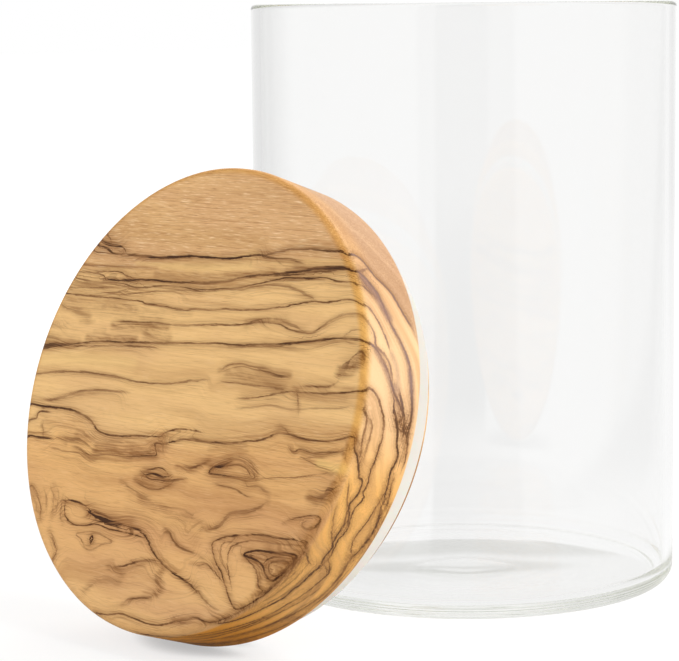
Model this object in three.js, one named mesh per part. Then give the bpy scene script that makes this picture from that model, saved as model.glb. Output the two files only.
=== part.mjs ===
// Round glass storage jar with its turned wooden lid taken off and leaned against the wall.
// Millimetres, +Z up. The origin is the middle of the jar's flat base, and the lid leans
// on the -Y side, so the whole object mirrors across the plane X = 0.
import * as THREE from 'three';

// Glass jar
const jarDiameter = 108;
const jarHeight = 148;
const jarWall = 2.4;
const jarFloor = 3.2;
const footRound = 4.2; // round outside, between the base and the wall
const heelRound = 3.6; // round inside, between the floor and the wall
const kickRadius = 17; // low swelling in the middle of the floor
const kickRise = 0.9;

// Wooden lid, turned from one board
const lidOverhang = 1.3; // how far the lid stands out past the jar's wall
const lidThickness = 20.2;
const faceRound = 2;
const backRound = 2.4;
const lipThickness = 2.5; // end of the plug, past the groove
const plugEdgeRound = 0.7;

// Seal ring in the plug's groove
const mouthFit = 0.3; // seal to glass, with the lid on
const sealProud = 2.3; // how far the seal stands out of the plug
const grooveDepth = 2.5;
const grooveSetback = 1.9; // shoulder to groove
const grooveWidth = 5.3;
const sealFit = 0.3; // seal to groove, on each side
const sealRound = 1.1; // outer edges of the seal
const sealHeel = 0.3; // inner edges of the seal

// How the lid stands
const leanDegrees = 18.6; // lid's plane from upright
const leanFit = 0.3; // plug to glass, where the lid leans

// Facets
const turnSteps = 72;
const roundSteps = 3;

const jarRadius = jarDiameter / 2;
const mouthRadius = jarRadius - jarWall;
const rimRadius = jarWall / 2;
const lidRadius = jarRadius + lidOverhang;
const sealRadius = mouthRadius - mouthFit;
const plugRadius = sealRadius - sealProud;
const grooveRadius = plugRadius - grooveDepth;
const grooveEnd = grooveSetback + grooveWidth;
const plugDepth = grooveEnd + lipThickness;
const quarter = Math.PI / 2;

// Turn a profile of (radius, height) points about +Z.
function turned(profile) {
  const geometry = new THREE.LatheGeometry(profile.getPoints(roundSteps), turnSteps);
  return geometry.rotateX(quarter);
}

// Outside of the base and wall, over the fire-polished rim, and down the inside to the floor.
function jarGeometry() {
  const profile = new THREE.Path();
  const rimHeight = jarHeight - rimRadius;
  profile.moveTo(0, 0);
  profile.lineTo(jarRadius - footRound, 0);
  profile.absarc(jarRadius - footRound, footRound, footRound, -quarter, 0, false);
  profile.absarc(jarRadius - rimRadius, rimHeight, rimRadius, 0, Math.PI, false);
  profile.absarc(mouthRadius - heelRound, jarFloor + heelRound, heelRound, 0, -quarter, true);
  profile.lineTo(kickRadius, jarFloor);
  const half = kickRadius / 2;
  const crown = jarFloor + kickRise;
  profile.bezierCurveTo(half, jarFloor, half, crown, 0, crown);
  return turned(profile);
}

// Lid about its own axis: the shoulder that sits on the rim is at height 0, the face above it.
function lidGeometry() {
  const profile = new THREE.Path();
  profile.moveTo(0, -plugDepth);
  profile.lineTo(plugRadius - plugEdgeRound, -plugDepth);
  profile.absarc(plugRadius - plugEdgeRound, plugEdgeRound - plugDepth, plugEdgeRound, -quarter, 0, false);
  profile.lineTo(plugRadius, -grooveEnd);
  profile.lineTo(grooveRadius, -grooveEnd);
  profile.lineTo(grooveRadius, -grooveSetback);
  profile.lineTo(plugRadius, -grooveSetback);
  profile.lineTo(plugRadius, 0);
  profile.absarc(lidRadius - backRound, backRound, backRound, -quarter, 0, false);
  profile.absarc(lidRadius - faceRound, lidThickness - faceRound, faceRound, 0, quarter, false);
  profile.lineTo(0, lidThickness);
  return turned(profile);
}

// Ring with a flat back in the groove and rounded outer edges.
function sealGeometry() {
  const inner = grooveRadius + sealFit;
  const low = sealFit - grooveEnd;
  const high = -grooveSetback - sealFit;
  const profile = new THREE.Path();
  profile.absarc(sealRadius - sealRound, low + sealRound, sealRound, -quarter, 0, false);
  profile.absarc(sealRadius - sealRound, high - sealRound, sealRound, 0, quarter, false);
  profile.lineTo(inner + sealHeel, high);
  profile.lineTo(inner, high - sealHeel);
  profile.lineTo(inner, low + sealHeel);
  profile.lineTo(inner + sealHeel, low);
  profile.closePath();
  return turned(profile);
}

function named(name, geometry, material) {
  const mesh = new THREE.Mesh(geometry, material);
  mesh.name = name;
  return mesh;
}

const glass = new THREE.MeshStandardMaterial({
  color: 0xf2f5f3,
  roughness: 0.04,
  metalness: 0,
  transparent: true,
  opacity: 0.3,
});
const wood = new THREE.MeshStandardMaterial({ color: 0xcb9c66, roughness: 0.52, metalness: 0 });
const silicone = new THREE.MeshStandardMaterial({ color: 0xefeadd, roughness: 0.45, metalness: 0 });

// The lid stands on its back edge and the plug's rounded edge meets the glass.
const lean = THREE.MathUtils.degToRad(leanDegrees);
const sin = Math.sin(lean);
const cos = Math.cos(lean);
const edgeRadius = plugRadius - plugEdgeRound;
const edgeDepth = plugDepth - plugEdgeRound;
const reach = edgeRadius * sin + edgeDepth * cos + plugEdgeRound;
const stand = (lidRadius - backRound) * cos - backRound * sin + backRound;

const lid = new THREE.Group();
lid.add(named('lid_wood', lidGeometry(), wood));
lid.add(named('lid_seal', sealGeometry(), silicone));
lid.rotation.x = quarter - lean;
lid.position.set(0, -(jarRadius + leanFit + reach), stand);

const storageJar = new THREE.Group();
storageJar.add(named('jar_glass', jarGeometry(), glass));
storageJar.add(lid);

export default storageJar;
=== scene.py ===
# %% [markdown]
# # A glass storage jar with its olive-wood lid leaned against it
#
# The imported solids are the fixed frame: a clear glass jar, and a loose lid made of one turned
# piece of wood with a silicone ring. This lesson draws each of them again with smooth, finely
# divided meshes and gives them their finishes. Everything is in metres, +Z is up, the jar's base
# is at the origin and the lid leans on the -Y side.

# %% Load the frame
import math

import bpy
import numpy as np
from mathutils import Matrix, Vector


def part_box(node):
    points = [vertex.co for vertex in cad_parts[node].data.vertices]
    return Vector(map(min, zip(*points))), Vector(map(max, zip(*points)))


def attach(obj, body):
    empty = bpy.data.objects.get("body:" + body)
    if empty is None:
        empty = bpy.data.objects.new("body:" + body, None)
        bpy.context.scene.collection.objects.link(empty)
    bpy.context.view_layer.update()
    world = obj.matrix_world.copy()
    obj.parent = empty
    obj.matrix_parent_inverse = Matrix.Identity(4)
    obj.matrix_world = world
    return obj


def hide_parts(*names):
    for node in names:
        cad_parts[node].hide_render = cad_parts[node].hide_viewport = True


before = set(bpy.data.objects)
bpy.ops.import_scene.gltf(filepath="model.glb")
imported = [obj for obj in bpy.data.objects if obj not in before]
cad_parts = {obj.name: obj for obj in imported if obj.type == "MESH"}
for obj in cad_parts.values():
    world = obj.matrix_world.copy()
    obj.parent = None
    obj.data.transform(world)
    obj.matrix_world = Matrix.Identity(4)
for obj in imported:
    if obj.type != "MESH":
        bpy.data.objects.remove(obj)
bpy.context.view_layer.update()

# %% [markdown]
# ## The camera
#
# A camera is a point, a direction and a lens. Here all three were found by moving them until the
# jar's edges and the lid's outline fell on the photograph's. A long lens from about 0.65 m keeps
# the jar's walls nearly parallel, as in a product photograph.

# %% Camera
MM = 0.001
PICTURE_WIDTH = 679
FOCAL_PIXELS = 2474.3
SENSOR_WIDTH = 36.0
CAMERA_PLACE = (0.41868, -0.47854, 0.14737)
LIGHT_BOUNCES = 1024  # light that is caught in the glass needs many bounces to get out

camera_data = bpy.data.cameras.new("camera")
camera_data.sensor_width = SENSOR_WIDTH
camera_data.lens = FOCAL_PIXELS * SENSOR_WIDTH / PICTURE_WIDTH
camera_data.clip_start = 0.01
camera = bpy.data.objects.new("camera", camera_data)
camera_heading = math.radians(134.084)  # compass direction of the view, from +X
camera_tilt = math.radians(90 - 7.464)
camera_roll = math.radians(-0.560)
camera.matrix_world = (
    Matrix.Translation(CAMERA_PLACE)
    @ Matrix.Rotation(camera_heading - math.pi / 2, 4, "Z")
    @ Matrix.Rotation(camera_tilt, 4, "X")
    @ Matrix.Rotation(camera_roll, 4, "Z")
)
bpy.context.scene.collection.objects.link(camera)
bpy.context.scene.camera = camera
bpy.context.scene.view_settings.view_transform = "Standard"
for kind in ("max_bounces", "glossy_bounces", "transmission_bounces"):
    setattr(bpy.context.scene.cycles, kind, LIGHT_BOUNCES)
print("lens", round(camera_data.lens, 1), "mm")

# %% [markdown]
# ## Tools for turned shapes
#
# A jar, a lid and a ring are all turned: half of the section, swept once round an axis. By hand
# that is one vertex extruded from corner to corner, corners rounded with a vertex bevel, and the
# Spin operator. Operators act on whatever is selected, so each helper first picks its vertices by
# their place.

# %% Drawing helpers
NEAR = 0.01  # how close a vertex has to be to a place to be the one meant
MERGE = 0.002  # vertices closer than this become one


def begin(name):
    bpy.ops.object.select_all(action="DESELECT")
    bpy.ops.mesh.primitive_plane_add(size=MM)
    piece = bpy.context.object
    piece.name = piece.data.name = name
    return piece


def pick(piece, wanted):
    """Select the vertices for which wanted(x, y, z) holds, in millimetres, and stay in edit mode."""
    bpy.ops.object.mode_set(mode="OBJECT")
    mesh = piece.data
    spots = np.empty(len(mesh.vertices) * 3, np.float32)
    mesh.vertices.foreach_get("co", spots)
    x, y, z = spots.reshape(-1, 3).T / MM
    chosen = np.broadcast_to(wanted(x, y, z), x.shape)
    mesh.polygons.foreach_set("select", np.zeros(len(mesh.polygons), bool))
    mesh.edges.foreach_set("select", np.zeros(len(mesh.edges), bool))
    mesh.vertices.foreach_set("select", chosen.astype(bool))
    bpy.ops.object.mode_set(mode="EDIT")
    bpy.ops.mesh.select_mode(type="VERT")


def pick_all(piece):
    pick(piece, lambda x, y, z: True)
    bpy.ops.mesh.select_all(action="SELECT")


def draw_section(corners):
    """Pull one vertex along the (radius, height) corners of a half section, in millimetres."""
    bpy.ops.object.mode_set(mode="EDIT")
    bpy.ops.mesh.select_all(action="SELECT")
    bpy.ops.mesh.merge(type="CENTER")
    bpy.ops.mesh.select_mode(type="VERT")
    bpy.ops.mesh.select_all(action="SELECT")
    start_r, start_h = corners[0]
    bpy.ops.transform.translate(value=(start_r * MM, 0, start_h * MM))
    for (r, h), (far_r, far_h) in zip(corners, corners[1:]):
        step = ((far_r - r) * MM, 0, (far_h - h) * MM)
        bpy.ops.mesh.extrude_region_move(TRANSFORM_OT_translate={"value": step})


def round_corner(piece, r, h, size, segments):
    """Bevel the corner of the section that lies at this radius and height."""
    pick(piece, lambda x, y, z: (abs(x - r) < NEAR) & (abs(z - h) < NEAR))
    bpy.ops.mesh.bevel(
        offset_type="OFFSET", offset=size * MM, segments=segments, affect="VERTICES", profile=0.5
    )


def spin_section(piece, steps):
    pick_all(piece)
    bpy.ops.mesh.spin(steps=steps, angle=2 * math.pi, center=(0, 0, 0), axis=(0, 0, 1))
    bpy.ops.mesh.select_all(action="SELECT")
    bpy.ops.mesh.remove_doubles(threshold=MERGE * MM)


def face_outwards():
    bpy.ops.object.mode_set(mode="EDIT")
    bpy.ops.mesh.select_all(action="SELECT")
    bpy.ops.mesh.normals_make_consistent(inside=False)
    bpy.ops.object.mode_set(mode="OBJECT")


def count(piece):
    piece.data.calc_loop_triangles()
    print(piece.name, len(piece.data.vertices), "vertices", len(piece.data.loop_triangles), "triangles")


# %% [markdown]
# ## The jar
#
# The jar is one piece of blown glass: a straight wall, a fire-polished rim, a rounded foot and a
# thick floor with a low swelling in the middle. Glass shows every facet, because light bends at
# both surfaces, so the jar is turned in 256 steps. Each straight run ends in an extra vertex close
# to the round, which keeps the smooth shading of the round from leaking along the wall.

# %% Jar sizes and section
jar_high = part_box("jar_glass")[1]
JAR_RADIUS = round(jar_high.x / MM, 2)
JAR_HEIGHT = round(jar_high.z / MM, 2)
JAR_WALL = 2.4
JAR_FLOOR = 3.2
FOOT_ROUND = 4.2
HEEL_ROUND = 3.6
KICK_RADIUS = 17
KICK_STOPS = 10
KICK_RISE = 0.9
HOLD = 0.4  # distance of the holding vertex from a round
GLASS_STEPS = 256
RIPPLE_START, RIPPLE_END, RIPPLE_STEP = 44.0, 20.0, 1.0
RIPPLE_LENGTH, RIPPLE_HEIGHT = 11.0, 0.06  # the floor was pressed while soft and kept faint rings

mouth = JAR_RADIUS - JAR_WALL
rim_round = JAR_WALL / 2 - 0.005  # a little less than half the wall, so that the two rounds stay apart


def floor_height(r):
    inside = min(1.0, max(0.0, min(RIPPLE_START - r, r - RIPPLE_END) / RIPPLE_LENGTH))
    return JAR_FLOOR + RIPPLE_HEIGHT * inside * math.sin(2 * math.pi * (RIPPLE_START - r) / RIPPLE_LENGTH)


ripples = np.arange(RIPPLE_START, RIPPLE_END - RIPPLE_STEP / 2, -RIPPLE_STEP).tolist()
floor_stops = ripples + [KICK_RADIUS * k / KICK_STOPS for k in range(KICK_STOPS, 0, -1)]
jar = begin("jar")
draw_section(
    [
        (0, 0),
        (JAR_RADIUS - FOOT_ROUND - HOLD, 0),
        (JAR_RADIUS, 0),
        (JAR_RADIUS, FOOT_ROUND + HOLD),
        (JAR_RADIUS, JAR_HEIGHT - rim_round - HOLD),
        (JAR_RADIUS, JAR_HEIGHT),
        (mouth, JAR_HEIGHT),
        (mouth, JAR_HEIGHT - rim_round - HOLD),
        (mouth, JAR_FLOOR + HEEL_ROUND + HOLD),
        (mouth, JAR_FLOOR),
        (mouth - HEEL_ROUND - HOLD, JAR_FLOOR),
        *((stop, floor_height(stop)) for stop in floor_stops),
        (0, JAR_FLOOR),
    ],
)
round_corner(jar, JAR_RADIUS, 0, FOOT_ROUND, segments=20)
round_corner(jar, JAR_RADIUS, JAR_HEIGHT, rim_round, segments=10)
round_corner(jar, mouth, JAR_HEIGHT, rim_round, segments=10)
round_corner(jar, mouth, JAR_FLOOR, HEEL_ROUND, segments=20)
spin_section(jar, GLASS_STEPS)

# %% Swelling in the middle of the floor
pick(jar, lambda x, y, z: (np.hypot(x, y) < NEAR) & (z > JAR_FLOOR / 2))
bpy.ops.transform.translate(
    value=(0, 0, KICK_RISE * MM),
    use_proportional_edit=True,
    use_proportional_connected=True,
    proportional_edit_falloff="SMOOTH",
    proportional_size=KICK_RADIUS * MM,
)
face_outwards()
bpy.ops.object.shade_smooth()
count(jar)

# %% [markdown]
# ## The lid
#
# The lid is turned from one board: a thick disc with softened edges and a plug behind it, with a
# groove for the seal. Its grain is drawn with values kept on the vertices, so the face and the edge
# need small, even squares. Spin alone would crowd the middle, so the section is spun open and both
# ends are closed with Grid Fill, and only the part in view is subdivided once more.

# %% Lid sizes and section
LEAN = math.radians(18.6)
LID_RADIUS = round(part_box("lid_wood")[1].x / MM, 2)
LID_THICKNESS = 20.2
FACE_ROUND = 2.0
BACK_ROUND = 2.4
MOUTH_FIT = 0.3
SEAL_OVERHANG = 2.3
GROOVE_CUT = 2.5
GROOVE_WIDTH = 5.3
PLUG_LIP = 2.5
SEAL_RADIUS = mouth - MOUTH_FIT
PLUG_RADIUS = SEAL_RADIUS - SEAL_OVERHANG
GROOVE_RADIUS = PLUG_RADIUS - GROOVE_CUT
GROOVE_START = 1.9
GROOVE_END = GROOVE_START + GROOVE_WIDTH
PLUG_DEPTH = GROOVE_END + PLUG_LIP
PLUG_EDGE = 0.7
LID_STEPS = 400
EDGE_ROWS = 13

lid = begin("lid")
edge_low, edge_high = BACK_ROUND, LID_THICKNESS - FACE_ROUND
edge_stops = [edge_low + (edge_high - edge_low) * k / EDGE_ROWS for k in range(1, EDGE_ROWS)]
plug_ring = PLUG_RADIUS - PLUG_EDGE - HOLD
face_ring = LID_RADIUS - FACE_ROUND - HOLD
draw_section(
    [
        (plug_ring, -PLUG_DEPTH),
        (PLUG_RADIUS, -PLUG_DEPTH),
        (PLUG_RADIUS, -GROOVE_END),
        (GROOVE_RADIUS, -GROOVE_END),
        (GROOVE_RADIUS, -GROOVE_START),
        (PLUG_RADIUS, -GROOVE_START),
        (PLUG_RADIUS, 0),
        (LID_RADIUS, 0),
        *((LID_RADIUS, stop) for stop in edge_stops),
        (LID_RADIUS, LID_THICKNESS),
        (face_ring, LID_THICKNESS),
    ],
)
round_corner(lid, PLUG_RADIUS, -PLUG_DEPTH, PLUG_EDGE, segments=3)
round_corner(lid, LID_RADIUS, 0, BACK_ROUND, segments=4)
round_corner(lid, LID_RADIUS, LID_THICKNESS, FACE_ROUND, segments=4)
spin_section(lid, LID_STEPS)

# %% Close the plug and the face, and divide the part in view
for height, ring in ((-PLUG_DEPTH, plug_ring), (LID_THICKNESS, face_ring)):
    pick(lid, lambda x, y, z: (abs(z - height) < NEAR) & (np.hypot(x, y) < ring + 5 * NEAR))
    bpy.ops.mesh.fill_grid(span=LID_STEPS // 4)
pick(lid, lambda x, y, z: z > edge_low - NEAR)
bpy.ops.mesh.subdivide(number_cuts=1)
face_outwards()
count(lid)

# %% [markdown]
# ## The grain of the lid
#
# Olive wood has dark veins that wander, fork and close round knots, and they run over the edge of
# the lid without a break. A noise texture can't put a vein in a chosen place, so the main veins are
# drawn as lines on the surface. Every vertex then keeps how far it is from the nearest vein and how
# dark that vein is, and the material turns those two values into a crisp line.
#
# The lines are kept in tables. A row for a vein starts with its darkness, from 0 to 1, and its width
# in millimetres. A row for a smear starts with its strength, which is below 0 for a pale one, and how
# far it reaches. The points follow: on the face in millimetres from its middle, right and up, and
# after a bar on the edge, in degrees round from the right-hand side and millimetres down from the
# face.

# %% Drawing lines on the lid
VEINS = []
SMEARS = []
RIM_ZONE = 2.6  # a line that ends so close to the rim goes on over it
LEFT_PART = -10.0  # only on the left: what the edge shows on the right is drawn point by point
OVER_DRIFT = -0.75  # degrees that such a line moves round for each millimetre down
OVER_DEPTHS = (1.0, 4.0, 8.0, 12.0, 15.5)


def on_face(points):
    return [(x, y, LID_THICKNESS) for x, y in points]


def on_edge(points):
    turned = [(math.radians(degrees), depth) for degrees, depth in points]
    return [(LID_RADIUS * math.cos(a), LID_RADIUS * math.sin(a), LID_THICKNESS - d) for a, d in turned]


def over_the_rim(points):
    """Carry a line that reaches the rim of the face on down the edge."""
    x, y, z = points[-1]
    if math.hypot(x, y) < LID_RADIUS - RIM_ZONE or z < LID_THICKNESS or x > LEFT_PART:
        return points
    degrees = math.degrees(math.atan2(y, x))
    drift = OVER_DRIFT * math.cos(math.radians(degrees))
    return points + on_edge([(degrees + drift * d, d) for d in OVER_DEPTHS])


def settle(path):
    """Lay a path on the rounded edge and the side, where it leaves the flat of the face."""
    centre_r, centre_z = LID_RADIUS - FACE_ROUND, LID_THICKNESS - FACE_ROUND
    r = np.hypot(path[:, 0], path[:, 1])
    out, up = r - centre_r, path[:, 2] - centre_z
    reach = np.hypot(out, up)
    rounded = (out > 0) & (up > 0)
    new_r = np.where(rounded, centre_r + out * FACE_ROUND / reach, np.where(up > 0, r, LID_RADIUS))
    path[:, 2] = np.where(rounded, centre_z + up * FACE_ROUND / reach, path[:, 2])
    path[:, :2] *= (new_r / r)[:, None]
    return path


def smooth_path(points, parts=6):
    """Catmull-Rom curve through the points, laid on the lid."""
    p = np.array(points, float)
    closed = np.allclose(p[0], p[-1])
    before, after = (p[-2], p[1]) if closed else (2 * p[0] - p[1], 2 * p[-1] - p[-2])
    p = np.vstack([before, p, after])
    t = np.linspace(0, 1, parts, endpoint=False)[:, None]
    runs = []
    for a, b, c, d in zip(p, p[1:], p[2:], p[3:]):
        square, cube = 2 * a - 5 * b + 4 * c - d, 3 * b - a - 3 * c + d
        runs.append(b + 0.5 * ((c - a) * t + square * t**2 + cube * t**3))
    return settle(np.vstack([*runs, p[-2:-1]]))


def pairs(text):
    return [tuple(map(float, spot.split())) for spot in text.split(",") if spot.strip()]


def draw(kept, table):
    """Keep each line of a table with its two measures."""
    for row in table.split(";"):
        measures, points = row.split(":")
        face, _, edge = points.partition("|")
        route = on_face(pairs(face)) + on_edge(pairs(edge))
        route = over_the_rim(over_the_rim(route)[::-1])[::-1]
        kept.append((*map(float, measures.split()), smooth_path(route)))


# %% Veins across the upper half of the face
draw(
    VEINS,
    """
0.85 0.44: -31 32.2, -25 32, -20 32.1, -15 32.4, -10 33, -5 33.2, 0 33.2, 5 33.4, 10 34.2, 14 34.8, 17
  35.1;
0.75 0.36: 14 34.8, 17 35.1, 20 35.9, 24 36.8, 28 37.1, 34 37.1, 40 37.4 | 42 0.8, 42.4 3, 41.5 5, 39.3
  6.5, 37.3 8, 36 10, 34.2 12, 31.5 13.5, 29 15, 27 16.5, 25 17.8;
0.7 0.44: -41.3 33.6, -38 33, -35 32, -31 32.2;
0.75 0.5: -40.5 34.6, -37 34, -33 33.8, -31.5 32.8;
0.5 0.33: -42 32, -38 31.9, -35 32, -32 31.7;
0.5 0.44: -38.6 36, -37.4 34.8;
0.7 0.39: 14 34.8, 18 34.4, 21 34.4, 24 34.6, 27 34.1, 30 33.6;
0.35 0.22: 20 33.9, 22 33.2, 24 32.6;
0.8 0.39: -36.3 25.4, -30 25.7, -25 26.2, -20 26.5, -15 26.5, -10 26.6, -5 26.9, 0 27.3, 5 28, 10 29.1,
  15 30, 20 30.8, 25 31.4, 30 32.3, 35 33, 40 33.5, 43.3 33.5 | 37.2 0.8, 36.9 2.2, 36 3.8, 34.6 5.2,
  32.8 6.6, 30.3 7.6, 27.6 8.6, 25 9.8, 22.6 11.6, 20.3 13.2, 17.6 14.7, 14 15.5, 10.5 16, 8.8 16.3, 6.6
  16.7, 4.3 16.8, 1.3 16.9;
0.65 0.8: 28 32.2, 33 32.9, 38 33.4, 43.3 33.5 | 37.2 0.6, 37 2.2;
0.6 0.33: 20 30.4, 25 30.9, 30 31.7, 36 32.5, 40 33.1;
0.5 0.39: | 37.1 2, 38.3 4, 39.2 6;
0.75 0.28: -47 26.6, -43 26.7, -39.5 26.7, -37.3 26.3, -36.4 25.4;
0.55 0.25: -40 27, -36 27.6, -31 27.6, -29.5 26.8, -26 26.5;
0.65 0.3: -46.5 24.9, -40 24.6, -35 24.8, -30 24.9, -26 24.4, -21 24.7, -17 25.3, -10 25.5, -3 25.3, 3
  25.9, 10 26.8, 15 28, 20 29.2, 25 30.2, 31 30.5, 36 31, 40 30.5, 46 30.7 | 33.6 0.8, 33.2 2.4, 32.2
  4.2, 31.5 5.5;
0.55 0.22: -48.3 22.6, -42 23.1, -36 23.6, -30 24.1, -25 24.5;
0.45 0.22: -38 22, -32 22.5, -27 23.9, -24 24.4;
0.5 0.22: -30 22.1, -25 22.8, -20 23.5, -14 24.3, -8 24.8, -2 25.1;
0.42 0.41: 5 26, 10 26.3, 14 27.2, 18 27.9, 22 28.3, 26 28.2, 30 27.3, 34 26.1;
0.6 0.28: -49.3 21, -42 21, -35 21.1, -28 21.2, -22 21.2, -20 20.6, -15 20.6, -10 20.2, -6 20.3, -2
  20.8, 3 21.1, 8 21.6, 15 21.9, 20 22.6, 25 23.4, 30 24.7, 35 25.4, 40 25.8, 44.5 26.7, 47.5 26.6 |
  28.3 0.8, 27.8 2.6, 26 4.3, 23.6 6, 20.5 7.6, 17.5 8.8;
0.3 0.33: -45 28.6, -38 28.8, -30 29, -24 29.4, -19 29.4;
0.5 0.33: -30 15.7, -25 15.8, -18 16.2, -12 16.5, -6 16.5, 0 17.2, 5 17.7, 11 18.1, 15 18.8, 18 19.8, 22
  20.6, 27 20.8;
0.48 0.33: 15 18.7, 18 19.3, 22 19.6, 26 19.3, 29 18.5, 33 18.2, 36 18.4, 38.5 20, 41 21.8, 44.5 23.3,
  49.6 23.9 | 25 0.8, 23.8 1.8, 22.4 3, 20.8 3.5, 19.3 3.5, 18.5 4, 18 5, 17.4 6.3, 16.3 7.6, 14.6 8.6,
  12.6 9.1, 10.9 9.6;
0.35 0.44: 26 20.2, 30 19.6, 33 18.7
""",
)

# %% Veins across the middle
draw(
    VEINS,
    """
0.7 0.33: -53.2 7.6, -48 8.3, -43 8.8, -38 9.6, -33 10.3, -28 10.7, -20 11.2, -13 11.7, -5 12.4, 0 12.8,
  6 13.3, 15 13.7, 20 14.4, 25 14.8, 30 15.5, 35 16.3, 40 17.2, 45 17.9, 50 18.2, 51.8 18.1 | 19 0.8,
  18.6 2.4, 17.6 4.2, 15.8 6, 13.4 7.9, 10.6 9.3, 8.7 10.6, 7.2 12.2, 4.6 14, 1.5 15.7, -1 17, -4 17.8;
0.65 1.1: -53 7.4, -49 8, -44 8.6;
0.5 0.25: -44 8.1, -36 9, -28 9.7, -20 10.2, -11 10.7;
0.5 0.25: 11 13, 16 13.4, 20 13.9, 25 14.4, 30 15.1;
0.65 0.4: 30 15.5, 35 16.3, 40 17.2, 44 17.8;
0.4 0.25: 47 17.4, 50 17, 52 16.9;
0.45 0.22: 46 18.6, 47.5 19.8, 50 20.4, 51.5 20.1 | 21.3 1;
0.55 1.6: 46.9 10.4, 48 11.7, 48.9 13.1;
0.5 0.5: 49.4 13.7, 50.8 15.1, 52.2 15.7, 53.1 14.4, 53.4 12.4;
0.5 0.28: 9.5 6.8, 12 8.7, 16 9.6, 21 9.2, 27 9.5;
0.7 0.5: 22.5 8.9, 25.5 8.3, 29 7.8, 33 8.4;
0.45 0.25: 9 5, 16 5, 24 5.1, 31 5;
0.5 0.33: -54 0.3, -50 0.9, -45 1.7, -38 2.4, -30 2.5, -25 2.5, -19 2, -12 2.1, -5 2.8, 1 4, 8 4.8;
0.5 0.28: 16 1.2, 20 1.9, 25 2.7, 28 3.6, 32 4.6, 35.3 5;
0.65 0.3: 35 4.9, 40 5.1, 45 5.5, 50 6.3, 53 6.9 | 7.6 0.8, 8.5 2.1, 7.8 4, 6.5 5.5, 4.9 6.5, 3.3 7.6,
  1.4 8.4, -0.4 8.6, -2 8.8, -3.9 8.5, -5.6 8.5, -7.5 8.4;
0.6 0.33: 35 6.2, 40 6.6, 44 7, 46.5 8, 47.5 9.2;
0.4 0.44: 35.3 5, 36.2 3.2, 37 1.2;
0.28 0.33: 16 -1.1, 20 -0.5, 24 0.3, 28 1, 34 0.9, 40 1.6, 48 2.6, 53.6 3.6;
0.38 0.5: -50 -5.8, -45 -5.2, -41 -4, -37 -2.6, -32 -1.7, -26 -1.2, -18 -0.8;
0.7 0.33: -53 -7.2, -48 -7.4, -43 -7.1, -38 -7.1, -34 -7.8, -30.3 -8.7, -28.3 -10, -26 -11.1, -22 -11.6,
  -17 -11.2, -13 -10.6, -8 -10.2, -4 -9.8;
0.6 0.39: -51.8 -11, -50 -10.5, -49.6 -9.2, -48.2 -8.6, -44 -8.6;
0.45 0.39: -48 -11, -46.7 -12.6, -46 -14.4;
0.55 0.28: -4.6 -9.6, -3.6 -8.6, -1 -7.9, 2 -7.3, 6 -7.2, 10 -7.6;
0.65 0.3: -3.5 -11.3, 0 -10.4, 4 -9.5, 10 -9.3, 15 -9.1, 19 -8.6, 24 -7.5, 28 -6.8, 31 -5.4, 33 -4.7, 36
  -4.8, 40 -5.2, 45 -5.1, 50 -4.4, 53.8 -3.1 | -3.4 0.8, -4.4 2.2;
0.5 0.22: 30.3 -4.1, 32 -3.3, 34 -3.4, 36 -4.6, 38 -5.1;
0.55 0.28: 36 -6.6, 37 -8, 38.6 -8.4, 40.2 -7.4, 45 -7.8, 50 -7, 53.8 -6.2;
0.35 0.22: 41.2 -9.2, 46 -8.6, 50 -8;
0.4 0.22: 41.2 -9.2, 46 -10.4, 52 -11.2;
0.6 0.3: -36 -15.7, -32.5 -15.8, -29.5 -16.7, -26.5 -16.9, -22 -16.2, -16 -15.9, -12 -15.4, -8 -14.8, -5
  -14.4, -5.4 -13, -6.2 -11.8, -2 -11.4;
0.75 0.39: -51.3 -15, -47 -14.9, -43 -14.7, -41 -15;
0.35 0.28: -44 -16.6, -37 -17.2, -31 -16.9, -27 -17.9, -23 -17.4;
0.35 0.33: -40 -13.9, -35 -14.2, -31 -13
""",
)

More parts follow.
